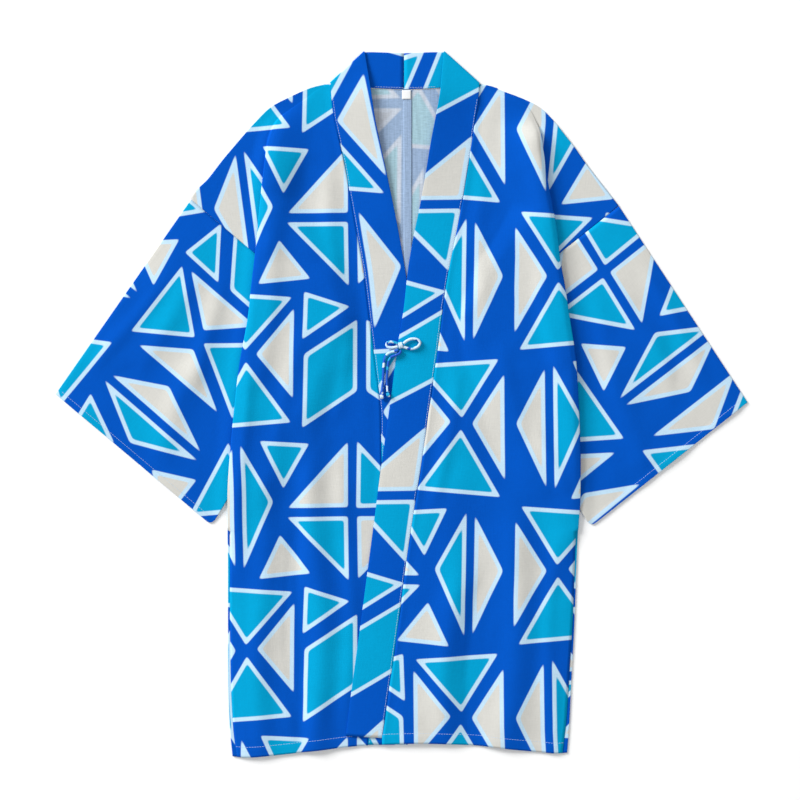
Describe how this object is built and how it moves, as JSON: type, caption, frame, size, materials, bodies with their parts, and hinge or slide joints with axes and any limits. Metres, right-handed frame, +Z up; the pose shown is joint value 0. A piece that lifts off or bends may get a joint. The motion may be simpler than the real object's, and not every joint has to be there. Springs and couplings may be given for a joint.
{
  "type": "haori",
  "caption": "Hip-length open-front haori jacket in printed cotton, laid flat, with wide sleeves, a long collar band and ties in a small bow.",
  "frame": {"origin": "centre of the garment's outline, on the surface that it lies on", "axes": "+Z up from the surface, +Y towards the collar, +X towards the sleeve that is on the right when seen from above"},
  "size_m": [0.8396, 0.8601, 0.0105],
  "materials": {
    "printed_cotton": "plain-woven cotton, printed, matt",
    "tie_cord": "narrow cords sewn from the printed cotton, matt",
    "label_tape": "white woven tape, bare"
  },
  "bodies": {
    "root": {"back_left": "printed_cotton", "back_right": "printed_cotton", "front_left": "printed_cotton", "front_right": "printed_cotton", "sleeve_left": "printed_cotton", "sleeve_right": "printed_cotton", "collar_left": "printed_cotton", "collar_right": "printed_cotton", "tie_loop_left": "tie_cord", "tie_loop_right": "tie_cord", "tie_end_long": "tie_cord", "tie_end_short": "tie_cord", "tie_knot": "tie_cord", "tie_end_long_knot": "tie_cord", "tie_end_short_knot": "tie_cord", "neck_label": "label_tape"}
  },
  "joints": []
}
